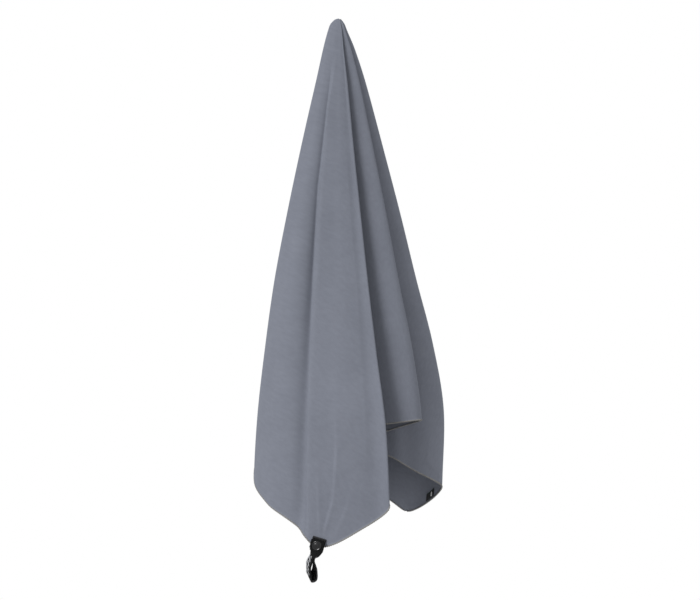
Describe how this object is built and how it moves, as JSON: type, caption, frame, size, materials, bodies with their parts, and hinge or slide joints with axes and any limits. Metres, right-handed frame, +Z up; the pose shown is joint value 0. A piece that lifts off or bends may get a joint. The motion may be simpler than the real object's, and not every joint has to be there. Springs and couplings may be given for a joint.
{
  "type": "quick dry towel",
  "caption": "Microfibre quick dry towel hanging in folds from the middle of a long edge, with overlocked edges, a sewn label and a snap-closed webbing hang loop at a corner.",
  "frame": {"origin": "the point the towel hangs from, the middle of one long edge", "axes": "+Z up, +X to the right seen from the front, +Y to the back"},
  "size_m": [0.285, 0.28, 0.8135],
  "materials": {
    "cloth": "matt microfibre suede",
    "thread": "matt overlock thread",
    "label": "woven satin label",
    "webbing": "woven polyester webbing",
    "black_thread": "matt sewing thread",
    "snap": "black lacquered snap",
    "spring_wire": "bare spring wire"
  },
  "bodies": {
    "towel": {"towel_cloth": "cloth", "lower_edge_overlock": "thread", "upper_edge_overlock": "thread", "left_edge_overlock": "thread", "right_edge_overlock": "thread", "label": "label", "label_stitching": "black_thread", "strap_sewn_end": "webbing", "strap_bartack": "black_thread"},
    "loop": {"strap_loop": "webbing", "snap_stud": "snap", "snap_post": "snap"},
    "flap": {"strap_flap": "webbing", "snap_socket": "snap", "snap_spring": "spring_wire", "snap_cap": "snap"}
  },
  "joints": [
    {"name": "loop_swing", "type": "hinge", "parent": "towel", "child": "loop", "pos_m": [-0.02889, -0.09683, -0.75393], "axis": [-0.9482, 0.1843, 0.2588], "range_deg": [0, 80]},
    {"name": "snap_open", "type": "hinge", "parent": "loop", "child": "flap", "pos_m": [-0.03415, -0.10299, -0.76881], "axis": [0.9482, -0.1843, -0.2588], "range_deg": [0, 85]}
  ]
}
